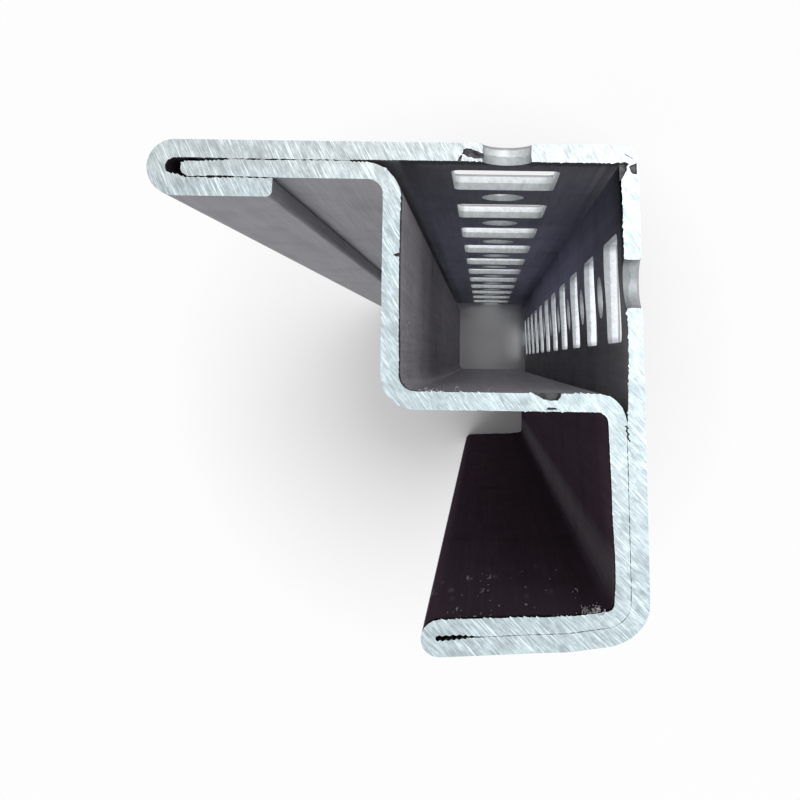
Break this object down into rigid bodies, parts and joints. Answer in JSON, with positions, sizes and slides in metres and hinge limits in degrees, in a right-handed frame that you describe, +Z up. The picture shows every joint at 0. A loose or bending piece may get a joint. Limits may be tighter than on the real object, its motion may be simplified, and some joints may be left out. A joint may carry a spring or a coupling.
{
  "type": "steel cabinet profile",
  "caption": "Roll-formed steel frame profile for a cabinet: closed box, hemmed flange and hemmed foot, with rows of round holes and rectangular slots for fixing.",
  "frame": {"origin": "middle of the profile's outline at its lower sawn end, on the floor", "axes": "+Z up along the profile, +Y the outward side of the wide perforated wall, +X the outward side of the perforated side wall"},
  "size_m": [0.056, 0.0564, 0.275],
  "materials": {
    "steel": "bare cold-rolled strip with bright sawn ends and punched edges"
  },
  "bodies": {
    "root": {"frame_profile": "steel"}
  },
  "joints": []
}
